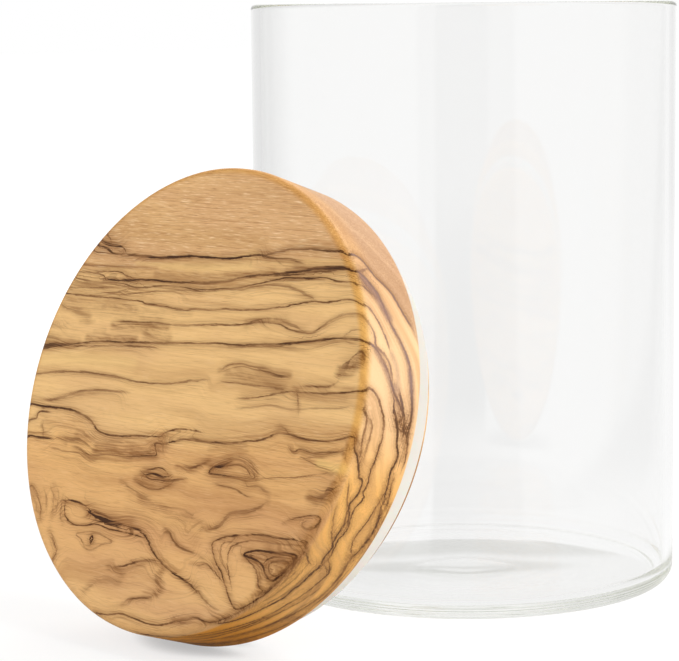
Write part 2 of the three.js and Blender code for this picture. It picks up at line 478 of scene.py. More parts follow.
# %% Knots and loops in the middle
draw(
    VEINS,
    """
0.6 0.28: -9 -19.2, -6 -17.8, -2 -17.1, 0.3 -18;
0.9 0.5: -7 -19.3, -4 -18.7, -1 -19, 0.6 -18.6;
0.6 0.33: -8 -18.9, -5.5 -19.9, -2 -19.8, 1.5 -19.6, 4 -19, 8 -18;
0.55 0.3: -11 -20.6, -7 -21.8, -4 -22.2, 0 -21.4, 2.5 -19.8;
0.35 0.28: -14.5 -21.5, -11 -22.9, -7 -24, -3 -25;
0.6 0.3: 13.5 -16.1, 15 -14.5, 17.5 -13.2, 20.5 -12, 23.5 -12.2, 26.3 -13.6, 28.4 -15, 27 -15.9, 22 -16,
  17 -16.2, 13.5 -16.1;
0.65 0.28: 17.5 -14.3, 20 -13.6, 23 -13.2, 25.6 -14, 26.6 -14.8;
0.85 0.7: 14.6 -14.7, 17 -14.2, 19 -13.2;
0.35 0.25: 22 -11.2, 25.5 -12, 28 -13.6, 29 -15;
0.5 0.25: 14.5 -18, 18 -18.4, 22 -18.6, 25 -19.2, 28 -19.8, 30 -19.1;
0.35 0.33: 25.5 -16.3, 26.5 -17.6, 29.5 -17.2, 32 -17.8, 35 -18.2;
0.5 0.44: 4 -16, 8 -15.7, 11 -14.3, 14 -12.8;
0.35 0.22: 28 -15.9, 33 -14.8, 40 -13.8, 46 -12.5, 51 -11.4;
0.6 1.4: 50.4 -16.6, 51.2 -15.3, 52.2 -14.8;
0.6 0.7: 46 -17.2, 49 -17, 51 -16.2, 52.3 -15;
0.45 0.7: 34 -19.8, 31.5 -21.8, 28 -23.2, 24 -24, 22 -25.4, 20.8 -27.2, 18.5 -28.4, 16 -29.2;
0.5 0.25: 39.6 -24.2, 42 -22.9, 46 -21.7, 49.4 -21.2, 50.6 -22.2, 49.2 -23.9, 47 -24.4, 45.6 -23.6, 46.6
  -22.8, 48.5 -22.5
""",
)

# %% Veins across the lower half
draw(
    VEINS,
    """
0.85 0.36: -24.5 -29.3, -22 -30.5, -19 -31.2, -14 -31.7, -9 -31.6, -5.5 -31.9, -3 -32.7, -1 -34.2, 0.8
  -35.9, 4.2 -37.9, 8.5 -39.6, 12.2 -40.7, 15.9 -41.8, 17.8 -42.7;
0.38 0.28: 17 -42.2, 18.9 -43, 20.5 -43.9, 22.4 -44.7, 24.6 -45.5, 27.3 -45.9;
1 0.98: -23.5 -30.3, -20 -31, -15 -31.6, -9 -31.6;
0.75 0.33: -32.6 -28.8, -30.5 -28.4, -27 -28.6, -24.5 -29.3;
0.6 0.33: -22 -29.9, -17 -30.4, -13 -31;
0.62 0.28: -32.6 -28.8, -32.2 -30.5, -31 -32.7, -28 -33.8, -24 -33.5, -20 -32.6, -15 -33.2, -8 -33.2,
  -2.6 -33.5;
0.35 0.28: -26.2 -25.2, -26 -27, -24 -28.4;
0.28 0.33: -34.2 -27, -33.6 -30, -32.8 -33.2, -30 -34.4;
0.34 0.36: -46 -26.8, -42.5 -29.4, -40.8 -31.5, -40.2 -34, -38.6 -35.6;
0.28 0.28: -42 -26, -39.6 -29, -38.4 -31.8, -38.6 -33.6;
0.26 0.28: -40 -24.8, -37.4 -28, -36.5 -31, -36.8 -33.5;
0.2 0.28: -38 -24.5, -35.6 -27.5, -35 -31, -35.5 -34;
0.45 0.3: -36.2 -35.8, -34.5 -37.6, -32.6 -39.6, -31.6 -41, -32.3 -42.6;
0.38 0.22: -26 -35.8, -22 -34.8, -19 -34.5, -15.5 -35.2, -13.2 -36, -17 -37.4, -20 -38.9, -22 -38.6, -24
  -37, -26 -35.8;
0.85 0.3: -20.5 -35.4, -19.9 -36.4, -20.4 -37.4, -21 -36.5, -20.5 -35.4;
0.5 0.39: -12 -41.8, -8 -41, -3 -39.1, 0 -38.4, 4 -38.1;
0.4 0.7: 3 -40.4, 4.6 -42.6, 6.6 -44.2;
0.45 0.33: -5 -49.6, -3.6 -48.1, 0 -47.1, 3 -46.6, 6 -45.4;
0.6 0.33: -13.4 -53, -9 -52.5, -5 -51.6, -2 -51.8, 3 -52.3, 7 -52.2, 10 -51.6, 14 -50.1, 17 -49.2, 20
  -48.5, 24 -48.9, 28 -48.2, 31 -47.6;
0.6 0.44: 13 -50.2, 16 -50.3, 19 -49.8;
0.3 0.44: -19 -48.8, -17 -47, -15 -45.5;
0.4 0.39: 2 -29.8, 5 -31, 8 -33.4, 12 -34.3, 17 -34.8;
0.5 0.28: 14.5 -36.8, 17 -37, 18.5 -36.4, 20.5 -36.8, 23 -38, 26 -39.6
""",
)

# %% The large knot near the lower right
draw(
    VEINS,
    """
0.6 0.3: 47.3 -27.4, 44 -27.2, 39 -27.6, 33 -27.6, 29 -28.4, 25 -29.2, 21.2 -30.3, 19.6 -31.6, 20.3
  -33.4, 22 -35.6, 24.5 -37.5, 26 -39.4, 28 -42, 30 -44, 31.6 -44.8, 34 -44.4, 37.5 -42.9, 41 -41, 45
  -38, 48 -34.5, 49.8 -31;
0.45 0.28: 47.5 -28, 43 -28.5, 38 -28.7, 33 -29, 28 -30.2, 25.6 -31.8, 25.5 -34, 26 -36, 27.6 -38.6,
  29.5 -42;
0.38 0.25: 26 -30.3, 23.6 -30.7, 22.5 -32.2, 23.6 -34.5, 25.6 -36.6;
0.8 0.42: 30.3 -32.6, 32 -31.6, 36 -31, 41 -30.6, 45 -30.4, 46.2 -31.4, 45.2 -33.2, 43 -35.4, 40.6 -37,
  38.4 -36.2, 36.6 -34.2, 34 -33.2, 30.3 -32.6;
0.75 0.36: 36.6 -33.6, 38 -32.3, 41 -31.5, 44.6 -31.4, 45.4 -32.2;
0.65 0.3: 38.4 -33.6, 39.6 -32.9, 42.5 -32.2, 44 -32.6, 43 -34.4, 40.8 -35.9, 39 -35.2, 38.4 -33.6;
0.9 0.5: 31.8 -32.5, 32.9 -32.5;
0.6 0.33: 30.6 -33, 33 -34.2, 35 -35.6, 36 -37.4, 36.8 -38.8, 38.4 -39.7;
0.45 0.33: 34.6 -40.8, 37 -41, 40 -40, 43.5 -37.6, 46.5 -33.6;
0.55 0.39: 46.5 -27, 48 -27.4, 47.6 -28.6, 49.4 -29.6, 50 -31;
0.35 0.25: 22 -45.7, 24 -47, 27 -47.6, 31 -47.4, 36 -45.8
""",
)

# %% Veins that only the edge shows: upper and middle part
draw(
    VEINS,
    """
0.55 0.25: | 35.7 1.9, 34.6 2.9, 33.4 3.6, 32.7 4.6, 31.9 5.7;
0.45 0.25: | 34.8 1.6, 33.6 2.4, 32.5 3.2, 31.7 4.4;
0.55 0.4: | 5.9 0.6, 4.8 1.5, 3.4 1.3, 2.6 2.1, 1.6 2.7, 0.2 2.8, -1.6 2.7, -3.7 2.8, -5.5 3.2, -6.8 3.4;
0.4 0.4: | 2.1 2.9, 1.4 4.1, -0.1 4.8, -1.9 4.8, -3.8 4.8, -5.2 4.7, -7 4.8, -8.7 4.9;
0.75 0.34: | -3.9 8.5, -5.6 8.5, -7.5 8.4, -9.2 8.1, -11.1 8.4, -13 8.7, -14.6 8.3, -15.6 9.2, -16.6
  9.1, -17.7 8.5, -19.1 8, -20.9 8.2, -22.4 8.6, -23.9 9, -25.5 8.8, -27 8.3, -28.7 8.6, -31.2 9.2,
  -32.6 9.4, -34 8.9;
0.9 0.42: | 7.6 10.4, 5.3 10.8, 3.7 11.9, 2.2 12.6, 0.8 13.3, -1.1 13.6, -2.4 14, -3.8 14.9, -5.4 15.2,
  -6.9 14.8, -8.2 14.4, -9.9 14.5, -11.5 15, -13.2 15.2, -15.1 15.6;
0.75 0.4: | 11.2 11.3, 9.1 12.2, 7.2 13.2, 5.7 13.8, 4.2 14.5, 2 15, -0.2 15.3, -1.6 15.5;
0.7 0.33: | 3.8 14.6, 2.2 16, 0.1 17, -1.9 17.5, -3.7 17.7, -5.3 17.8, -7 17.7, -9.3 17.4;
0.5 0.3: | 3.2 11.6, 3.3 13.3, 4.3 14.8;
0.5 0.28: | 1.5 12.4, 1.2 14.2, 1 15.7, 1.1 17.3;
0.8 0.4: | -3.9 0.5, -4.8 0.9, -5.9 1.4, -7 2.5, -8.7 3.6, -10.4 4.7, -11.7 5.4, -11.8 6.4, -12.8 7,
  -14.3 7.1, -15.8 7, -17.2 6.2, -18.7 6.1, -20.5 7.3, -22.4 8.3, -23.9 9;
0.75 0.3: | -8.3 16.2, -10.1 16, -11.5 16, -13.4 16.7, -14.8 17, -16.6 17.5, -18.5 17.4
""",
)

# %% Veins that only the edge shows: lower part
draw(
    VEINS,
    """
0.6 0.28: | -11.6 2.1, -13.4 3, -15.2 3.7, -17.2 4.6, -19 6, -20.9 6.6, -22.9 7.3, -24.8 7.3, -26.4 7.2;
0.95 0.4: | -22.9 7.3, -24.8 7.3, -26.4 7.2, -27.8 7.3, -29.1 7.9, -30.5 8, -32.4 7.9, -34.1 8.3, -35.3
  8.4, -37.1 7.9, -39.1 7.7, -41.2 7.6, -43.3 6.9, -45.9 7, -48.2 6.3, -51.2 5.2, -55 4.2, -59 2.8, -62
  0.8;
0.65 0.3: | -13.7 14.9, -15 14.6, -16.8 14.3, -18.9 14, -20.8 13.8, -22.5 13.3, -24.2 12.9, -25.9 12.7,
  -27.4 13.3, -29 14.1, -29.9 15.5;
0.8 0.5: | -14.5 16, -16.5 15.8, -18 16.1, -19.9 16.8, -21.9 17.1, -23.8 17.1, -25.9 16.8, -27.9 16.5,
  -29.1 16.2, -30.1 15.7;
0.5 0.5: | -29.1 16.2, -30.1 15.7, -31.6 15.6, -33.7 16, -35.8 16.4, -38.1 16.5, -40.9 16.6, -43.6 16.4,
  -46 16, -52 14.6, -60 12.6, -68 10.6;
0.55 0.26: | -17.7 2.2, -19.7 2.5, -21.6 3.1, -23.5 4.1, -25.7 5.3, -27.6 6.8, -29.1 7.9;
0.6 0.34: | -32.6 9.4, -34.1 11.3, -36 12.6, -37.4 12.4, -39.2 12, -41.4 11.7, -43.3 11.2, -45.4 10.8,
  -48 10, -51.4 9.3, -55.2 8.4, -60 6.6, -66 4.6, -72 2.6, -76 0.8;
0.5 0.25: | -34 8.9, -35.3 11.3, -37 12.5;
0.6 0.25: | -36 17.6, -38.1 17.7, -40.6 17.7, -43.2 17.6, -48 17.2;
0.35 0.3: | -34.6 4.8, -36.8 4.7, -39.5 4.8, -42.4 4.2, -46 3.6, -51 2.2;
0.4 0.28: | -35.7 7, -38.3 6.7, -41.1 6.6, -44.1 6.2, -47.5 5.2, -52 3.6;
0.35 0.3: | -35.8 3.4, -38.1 3.2, -41 2.7, -43.7 2;
0.5 0.28: | -31.5 0.6, -32.6 2.4, -34 4, -34.8 5.6;
0.6 0.35: | -91 0.6, -84 1, -79 1.5, -75.7 2.6, -72.9 4.2, -69.1 5.4, -65.4 6.5, -61.6 7.7, -57.3 8.6,
  -53.7 9.6;
0.55 0.3: | -82 6.4, -74 7.2, -66.6 7.9, -61.1 8.9, -55.7 10, -50.3 11.2, -46.5 12.5, -42.4 13.6, -39.1
  13.9;
0.45 0.3: | -78 9, -67.2 10.2, -62.1 11.5, -57 12.9, -52.9 13.8, -48.5 14.4, -44.6 15.3;
0.45 0.3: | -76 13.6, -68.6 14.7, -62.5 15.7, -57.9 16.8, -53.2 17.4, -48.8 17.7;
0.5 0.4: | -13.6 18.2, -16.6 18.5, -20 18.5, -24 18.6, -28 18.7, -32 18.8, -37 18.9, -42 18.9, -48 18.9
""",
)

# %% Soft brown smears across the upper half
draw(
    SMEARS,
    """
0.8 1.8: -41.5 34, -37 33.7, -32.5 33;
0.5 1.1: -30 31.8, -24 31.5, -16 31.8, -8 32.6;
0.4 1: 2 34, 9 34.9, 15 35.5, 22 36.4;
0.4 1: 17 34.2, 23 33.8, 29 33.3;
0.75 1.5: -19 28, -10 28.3, -2 28.7, 6 29.5, 13 30.3, 20 31.2;
0.5 1.3: -37 25.2, -28 25.6, -18 26, -8 26.2, 2 26.8;
0.65 1.3: 24 31.9, 31 32.7, 38 33.3, 43.5 33.5;
0.4 1: 4 26.4, 12 27.6, 20 29, 28 30.2, 36 30.6;
0.4 0.9: 16 27.6, 22 28.3, 28 27.8, 33.5 26.3;
0.35 0.9: -46 28.7, -36 28.8, -26 29.2, -19 29.4;
0.4 1.5: -50 21.8, -44 21.6, -37 21.5;
0.35 1.3: -48 23.6, -40 23.8, -31 24.3;
0.3 0.9: -20 20.5, -10 20.1, 0 20.7, 10 21.6, 20 22.5, 28 24, 38 25.4, 47 26.3;
-0.3 2.2: -26 29.9, -16 30.4, -6 30.6, 4 31.2, 12 32;
-0.3 3: -52 4.4, -42 5.4, -31 6, -20 6.4;
0.25 1.4: -34 19.3, -25 19.4, -15 19, -4 19.3;
0.6 2.2: -49.4 17.8, -46.2 17.6, -42.9 16.6, -39.5 15.6;
0.45 1.6: -34.7 19, -30.9 19.5, -26.9 19.6, -23.1 19.1;
0.4 3.2: -48 19.6, -38 18.6, -26 17.6, -14 17.8;
0.36 2.6: -44 23.4, -36 22.6, -28 22;
0.45 1: -42 14.4, -39 14.6, -37 15;
0.4 2: -51.5 13.2, -47 12.8;
0.75 1.5: -30 15.2, -22 15.4, -15 15.7, -11 15.6;
0.45 1.7: -29.6 14.2, -23.8 14.3, -17.5 14.7, -12 14.8;
0.8 2.4: -17.7 13.7, -13.5 13.8, -10 13.2;
0.85 1.6: -38 10.8, -30 11.5, -21 12;
0.4 1.4: -35.7 12.4, -32.6 12.9;
0.5 2.4: -54 9.8, -49 9.6;
0.85 1.9: -54.5 7.6, -48 8.2, -41 9;
0.35 0.9: -44 8.6, -34 9.8, -24 10.6, -10 11.6;
0.55 1.4: 15 19, 20 20, 25 20.2, 28 20;
0.45 1: 28 19.4, 32 18.8, 35.5 18.3;
0.4 1: 37 18.8, 40 21, 44 22.9, 50 23.7;
0.45 1: 8 13.2, 18 13.9, 28 15, 38 16.7, 50 18;
0.9 2.3: 47 10.4, 49 11, 50.6 12.6, 52 14.6;
0.8 2.6: 50.2 11.6, 51.6 13.2, 52.6 14.6;
0.55 0.9: 46.8 9.9, 48.4 11.4;
0.65 1.9: 12.5 6.4, 19 6.6, 27 6, 31 5.4;
0.6 1.5: 14.5 8.6, 20 8.5, 27 8.5, 32 8.3;
0.4 1.1: 9.6 7.2, 13 7.6;
0.35 0.9: 34 6, 40 6.4, 46 7.2, 52 7.4;
0.3 1.7: 27 2.6, 34 3.6, 42 4.2, 50 5;
0.35 0.9: 35.4 4.8, 36.3 3, 37.2 0.8;
0.35 1: -54 0.6, -46 1.8, -36 2.6, -26 2.6, -19 2.2
""",
)

# %% Soft brown smears across the lower half
draw(
    SMEARS,
    """
0.4 1.4: -53 -6.2, -47 -5.6, -42 -4.2, -37 -3, -30 -1.6;
0.45 1.3: -48 -7.9, -41 -7.9, -35 -8.6, -30 -9.6;
0.5 1: -51.6 -10.8, -50 -9.4, -48.2 -8.4;
0.4 1: -47.6 -11.4, -46.4 -13.6;
0.7 1.6: -34 -12.6, -31.5 -12.3, -29.8 -12.5;
0.55 2.2: -28 -12, -22 -12.7, -15 -12.5, -8 -11.8, -3 -12.6;
0.95 2.2: -26 -15.3, -20 -15.4, -15 -14.9, -11 -14.4, -5.5 -14;
0.5 1: -52.5 -14.6, -47 -14.7, -42 -14.6, -37 -15.4;
0.4 1.1: -30 -17.4, -24 -17.2, -19 -16.9, -13 -16.4;
0.45 1.8: -40 -14.2, -34 -14, -29 -14.4;
0.22 4: -46 -11, -36 -12, -26 -13.4, -14 -13.4;
0.9 2.5: -7.5 -19, -3 -18.9, 1 -19.4;
0.65 1.5: -10 -20.6, -5 -21.6, 0 -21, 3 -19.9;
0.35 1.1: -15 -21.6, -10 -23.4, -5 -24.6;
0.5 1.2: -5 -10.2, 2 -9.8, 9 -9.2, 16 -9, 23 -8.6;
0.4 1.1: 12 -10.6, 18 -10.2, 24 -9.8;
0.85 1.7: 3 -16.3, 7 -15.9, 10 -14.9, 12.6 -13.4;
0.85 1.8: 14.2 -14.9, 17 -14, 19.8 -12.8;
0.6 1.5: 15 -16.2, 20 -16.2, 26 -16.2;
0.4 1.5: 25.5 -16.8, 29 -17.2, 33 -18.2, 34 -20;
0.35 0.9: 26 -12.4, 28.6 -14.2, 28.8 -16;
0.35 1: 31 -5, 34 -4, 38 -5, 46 -5.2, 53 -4;
0.3 1.2: 37 -7.6, 43 -8, 50 -7.4, 54 -6.6;
0.95 2.1: 46 -17.4, 49.5 -17.4, 52.2 -15.8;
0.9 0.9: 51.6 -13.8, 52.4 -13.4;
-0.85 2: 46.6 -9.9, 50.5 -10.4, 54 -10.4;
0.6 1: 52.8 -6.4, 53.6 -7.8;
0.7 1: 53.6 -4.4, 54 -5.6;
0.6 2: -7 -24.8, 0 -25.8, 6 -26.6, 12 -27.4, 17 -28.7;
0.25 4: -10 -27, 0 -29, 8 -30, 14 -31;
0.65 1.2: 15.2 -29.1, 17.8 -28.5;
0.45 1.3: 18.5 -28.2, 21.4 -26.2, 23.4 -24.6, 28 -23.4, 32 -21.6;
0.35 1: 40 -24, 44 -22.4, 49 -21.6, 50.4 -22.6, 48 -24.4;
0.35 2: 50 -24.4, 48 -26.2, 46.4 -27.4;
0.45 1.2: 47.4 -27.6, 41 -28, 34 -28.2, 28 -29.2, 22 -30.2;
0.45 1.5: 20.2 -31.6, 22 -34.8, 25.4 -38, 28.4 -41.8, 31 -44.2;
1 2.6: 35.4 -32.2, 44.6 -31.4, 43 -34.2, 39.4 -35.6, 37.6 -34;
0.7 2.2: 41 -33.2, 42.5 -33;
0.8 1.6: 31 -32.6, 34 -33.4, 36 -35.8, 36.8 -38.6;
0.55 1.1: 36.4 -38.4, 37.6 -39.7, 35.2 -41;
0.4 2.2: 32 -44.4, 37 -42.8, 42 -40, 46.4 -36, 49.4 -31;
0.7 1.3: -23.6 -30.5, -18 -30.8, -12 -31.2, -8 -31.4;
0.4 0.9: -32.6 -29.4, -29 -28.9, -25 -29.6;
0.35 0.8: -31.6 -32, -28 -33.6, -22 -33.2, -14 -33, -6 -33;
0.4 0.9: -3 -32.8, 1 -36.2, 8 -39.7, 16 -42.2, 22 -44.6;
0.35 2.2: -46 -27.4, -42.6 -30.6, -40.6 -34;
0.3 1.6: -38 -25.6, -36 -29.6, -36.2 -33.6;
0.3 1: -34 -27.4, -33.4 -31.4, -31.6 -34.2;
0.35 1.6: -36 -36.2, -33.4 -39.6, -32.2 -42.4;
0.5 1.6: -12.4 -41.9, -9.6 -42, -7 -42.8;
0.35 1.8: -19 -48.8, -16.6 -46.2, -13 -45, -8 -44.6;
0.5 1.4: -5 -39.6, 1 -38.6, 5 -38.4;
0.35 2: 2.4 -40.6, 5 -42.6, 6.6 -44.4, 2 -46;
0.75 1.8: 5.7 -39.5, 4.9 -41.1, 5.4 -42.6, 6.5 -43.8, 5.2 -45.2;
0.35 1.2: -5 -49.4, -2 -47.8, 4 -46.4;
0.45 1.3: -14 -53, -8 -52.2, -1 -51.8, 8 -52.2;
0.5 1.2: 12.6 -50.3, 17 -50, 22 -49.2, 30 -48.2;
0.35 1.1: 3 -30.4, 7 -32.8, 12 -34.2, 18 -35;
0.35 1: 14 -36.9, 19 -36.8, 24 -38.4
""",
)

# %% Soft brown smears on the edge
draw(
    SMEARS,
    """
0.85 2.2: | 36.2 2.4, 32.5 5.8, 29.5 7.4, 27 9;
0.5 1.2: | 25 9.8, 22.5 11.6, 19 13.6, 14.9 15.3, 10.6 16;
0.7 1.5: | 15 15.2, 11 16, 6.6 16.8, 3 17;
0.6 1.5: | 17.6 3.8, 14.6 6.4, 11.3 8.6, 8.6 10;
0.4 1.4: | 18 9, 15.5 10.4, 12.8 11.1, 10.2 11.7;
0.6 1.7: | 10.4 10.4, 7.6 11.6, 5.2 12.6, 3.6 13.4;
0.8 2.2: | 3.6 12.4, 2.2 14.2, 0.4 15.4, -1 15.8;
0.6 1.5: | 1.6 16, -1.6 16.8, -5 16.8;
0.55 1.3: | -1.1 13.8, -3.8 14.8, -7 14.8, -10 14.6;
0.6 1.4: | -3.4 0.8, -4.8 1.8, -6 2.8;
0.4 1.2: | 5.4 0.8, 2.8 2, 0 2.8, -4 3, -6.6 3.4;
0.3 1.2: | 1.4 4, -1 4.8, -5 4.8, -8 4.9;
0.4 1.1: | 4 7.2, 0 8.6, -5 8.5, -9 8.2, -13 8.6;
0.55 1.3: | -6.6 2.2, -9 3.8, -11.6 5.6, -14 7, -17 6.4;
0.55 1.5: | -11.4 14.3, -13.3 14.6, -15.3 14.4;
0.5 1.3: | -9 16, -12 16.2, -15 16.8, -18 17.2;
0.45 1.2: | -17 4.6, -20.9 6.8, -24.8 7.6, -28 8.2;
0.35 1.4: | -19 2.6, -23.5 4.2, -27.4 6.6;
0.4 1.5: | -18 14, -22.5 13.1, -26 12.5, -30 13.6;
0.65 1.4: | -18 16.4, -23 17, -28 16.6, -33 16, -38 16.6;
0.6 1.3: | -16 17.6, -19.5 17.4, -23.4 17.6, -28 17.6;
0.5 1.2: | -30.8 14.9, -33.4 15.6, -35.8 16, -38.4 16.2;
0.45 2: | -30.5 14.6, -33 15, -36 15.4;
0.6 1.3: | -29 8.3, -32.5 8.6, -36 8.4, -41 7.4, -46 6.8;
0.4 1.8: | -35 11, -38 11, -44 9.6, -50 8;
0.4 2.4: | -33 2.2, -38 3.6, -45 3.6, -52 2.4;
0.5 1.6: | -38 16.8, -46 16.4, -54 14.6, -62 12.6, -70 10.6;
0.45 1.8: | -40 12.6, -48 11, -56 8.8, -64 7.2, -74 4.6;
0.5 2.2: | -50 17.6, -60 16.4, -70 14.4, -80 12;
0.7 3.6: | -68 16, -75 14.6, -80 12.6, -86 10, -94 7
""",
)
print(len(VEINS), "veins,", len(SMEARS), "smears")

# %% [markdown]
# A thin line needs a value that passes straight through zero on the line, so each vertex keeps its
# distance with a sign for the side that it is on. Two veins that run close together would spoil
# each other's signs, so they are kept in three separate layers, one for each axis of a vector.

# %% Measures of the veins
LAYERS = 3
FADE = 4.0  # millimetres over which a free end dies away
TAPER, TAPER_LEAST = 7.0, 3.0  # a stroke narrows over so many times its width, at most half its length
TIP = 0.35  # width of the end of a stroke, next to its middle
# A vein is cut across on the face and at a slant on the edge, where it looks wider.
FACE_BOLD, EDGE_BOLD, LOW_EDGE_BOLD = 1.2, 1.8, 1.25
VEIN_REACH = 8.0  # a vein counts for the vertices so close to it
NO_VEIN = 9.0  # distance that a vertex keeps when no vein is near
JOIN = 1.0  # an end so close to another vein joins it
DIP = 1.25  # how steeply the board's layers go down behind the face
CALM_END = 12.0  # layers bend less beside the ends of a vein
BEND_LIMIT = 5.0
BACK_DROP, BACK_TONE = 12.0, 0.8  # a vein of the face shows lower and paler on the back of the plug
FACE_LEVEL = LID_THICKNESS - 0.05


# %% Measuring distances
def values_of(collection, name, count):
    values = np.empty(count * 3, np.float32)
    collection.foreach_get(name, values)
    return values.reshape(-1, 3).astype(float)


def nearest(spots, path):
    """Distance from each spot to the path, its nearest piece, how far along that is, and the length."""
    start, step = path[:-1], np.diff(path, axis=0)
    length = np.linalg.norm(step, axis=1)
    t = np.clip(np.einsum("nkd,kd->nk", spots[:, None] - start, step) / length**2, 0, 1)
    gap = np.linalg.norm(spots[:, None] - start - t[..., None] * step, axis=2)
    best = gap.argmin(axis=1)
    row = np.arange(len(spots))
    along = np.concatenate([[0], np.cumsum(length)])
    return gap[row, best], best, along[best] + t[row, best] * length[best], along[-1]


def close_to(spots, path, reach):
    low, high = path.min(axis=0) - reach, path.max(axis=0) + reach
    return np.all((spots > low) & (spots < high), axis=1).nonzero()[0]


def ease(value, low, high):
    t = np.clip((value - low) / (high - low), 0, 1)
    return t * t * (3 - 2 * t)


def grain_level(points):
    """Which layer of the board a point is in: the layers lie level across the face and dip behind it."""
    return points[:, 1] + DIP * (LID_THICKNESS - points[:, 2])


def joins(end, others):
    return any(np.linalg.norm(other - end, axis=1).min() < JOIN for other in others)


def room(path, paths):
    """How far a path keeps from the nearest of some paths."""
    gaps = (np.linalg.norm(path[::3, None] - other[None, ::2], axis=2).min() for other in paths)
    return min(gaps, default=99.0)


def cover(values, where, amount):
    """Lay an amount, 1 at most, over the values that are there already."""
    values[where] = 1 - (1 - values[where]) * (1 - amount)


# %% Keep the veins on the vertices
# The veins go through the board and come out of the plug lower down.
for drawn in (VEINS, SMEARS):
    for tone, width, path in list(drawn):
        through = path - (0, BACK_DROP, LID_THICKNESS + PLUG_DEPTH)
        on_plug = np.hypot(through[:, 0], through[:, 1]) < PLUG_RADIUS - 1
        shown = on_plug & (path[:, 2] > FACE_LEVEL)
        if shown.sum() > 6:
            drawn.append((tone * BACK_TONE, width, through[shown]))

number = len(lid.data.vertices)
spots = values_of(lid.data.vertices, "co", number) / MM
normals = values_of(lid.data.vertex_normals, "vector", number)
side = np.full((number, LAYERS), NO_VEIN)
half = np.zeros((number, LAYERS))
tone_kept = np.zeros((number, LAYERS))
halo_kept = np.zeros(number)
smear_kept = np.zeros(number)
shift = np.zeros(number)
weight = np.full(number, 0.002)
layer_paths = [[] for _ in range(LAYERS)]
for order, (tone, width, path) in enumerate(VEINS):
    layer = int(np.argmax([room(path, paths) for paths in layer_paths]))
    layer_paths[layer].append(path)
    close = close_to(spots, path, VEIN_REACH)
    gap, piece, along, whole = nearest(spots[close], path)
    others = [other for k, (_, _, other) in enumerate(VEINS) if k != order]
    closed = np.allclose(path[0], path[-1])
    life = np.ones_like(along)
    slim = np.ones_like(along)
    for end, away in () if closed else ((path[0], along), (path[-1], whole - along)):
        if not joins(end, others):
            life *= ease(away, -0.5, FADE)
        taper = min(max(TAPER_LEAST, TAPER * width), whole / 2)
        slim *= TIP + (1 - TIP) * ease(away, 0, taper)

    # The line itself: signed distance, half width and tone.
    step = np.diff(path, axis=0)
    outward = np.cross(step[piece], spots[close] - path[piece])
    left = np.einsum("nd,nd->n", outward, normals[close]) > 0
    nearer = gap < abs(side[close, layer])
    mine = close[nearer]
    side[mine, layer] = np.where(left, gap, -gap)[nearer]
    on_side = (spots[close, 2] < LID_THICKNESS - 1) & (spots[close, 2] > 0)
    bold = np.where(on_side, np.where(spots[close, 1] > 0, EDGE_BOLD, LOW_EDGE_BOLD), FACE_BOLD)
    reach = width / 2 * bold * slim
    half[mine, layer] = reach[nearer]
    tone_kept[mine, layer] = (tone * life * (1 - ease(gap, reach + 1.0, reach + 1.8)))[nearer]

    # The layers beside it bend along, and a brown halo lies round it, wider on one side.
    level = grain_level(path)
    calm = 1.0 if closed else ease(along, 0, CALM_END) * ease(whole - along, 0, CALM_END)
    only_edge = path[:, 2].max() < FACE_LEVEL
    pull = calm / (gap * gap + 2.5) ** 1.5 * (1 - only_edge * ease(spots[close, 2], 17.5, 19.5))
    shift[close] += pull * np.clip(level[piece] - level.mean(), -BEND_LIMIT, BEND_LIMIT)
    weight[close] += pull
    spread = (0.45 + 1.2 * width * bold) * np.where(left == (order % 2 == 0), 0.75, 1.3)
    cover(halo_kept, close, 0.95 * tone * life * np.exp(-((gap / spread) ** 1.6)))

for strength, reach, path in SMEARS:
    close = close_to(spots, path, reach)
    fall = 1 - ease(nearest(spots[close], path)[0], 0, reach)
    cover(smear_kept, close, strength * fall)


# %% Attributes for the material
def keep(name, kind, key, values):
    layer = lid.data.attributes.new(name, kind, "POINT")
    layer.data.foreach_set(key, np.ascontiguousarray(values, np.float32).ravel())


keep("vein_side", "FLOAT_VECTOR", "vector", side)
keep("vein_half", "FLOAT_VECTOR", "vector", half)
keep("vein_tone", "FLOAT_VECTOR", "vector", tone_kept)
keep("grain", "FLOAT", "value", grain_level(spots) - shift / weight)
keep("halo", "FLOAT", "value", halo_kept)
keep("smear", "FLOAT", "value", smear_kept)
print("veins in each layer:", [len(paths) for paths in layer_paths])

# %% Lean the lid against the jar
LEAN_GAP = 0.3


def lean_against_jar(piece):
    """Turn a piece from the lid's own axis to where the lid stands and leans."""
    low_edge = PLUG_RADIUS - PLUG_EDGE
    low_depth = PLUG_DEPTH - PLUG_EDGE
    reach = low_edge * math.sin(LEAN) + low_depth * math.cos(LEAN) + PLUG_EDGE
    stand = (LID_RADIUS - BACK_ROUND) * math.cos(LEAN) - BACK_ROUND * math.sin(LEAN) + BACK_ROUND
    place = (0, -(JAR_RADIUS + LEAN_GAP + reach) * MM, stand * MM)
    pick_all(piece)
    # Without a window the operator turns the other way, so the angle is negative.
    turn_about_x(LEAN - math.pi / 2)
    bpy.ops.transform.translate(value=place)
    bpy.ops.object.mode_set(mode="OBJECT")
    return place


def turn_about_x(angle):
    bpy.ops.transform.rotate(value=angle, orient_axis="X", orient_type="GLOBAL", center_override=(0, 0, 0))


lid_place = lean_against_jar(lid)
bpy.ops.object.shade_smooth_by_angle(angle=math.radians(40))
print("lid stands at", [round(v, 4) for v in lid_place])

# %% [markdown]
# ## The seal
#
# The seal is a soft off-white ring in the plug's groove. Its section is a small rectangle with
# rounded outer edges: a plane stood upright, sized, beveled at its corners and spun. The plane's own
# face is removed before the spin, or it would be left inside the ring.

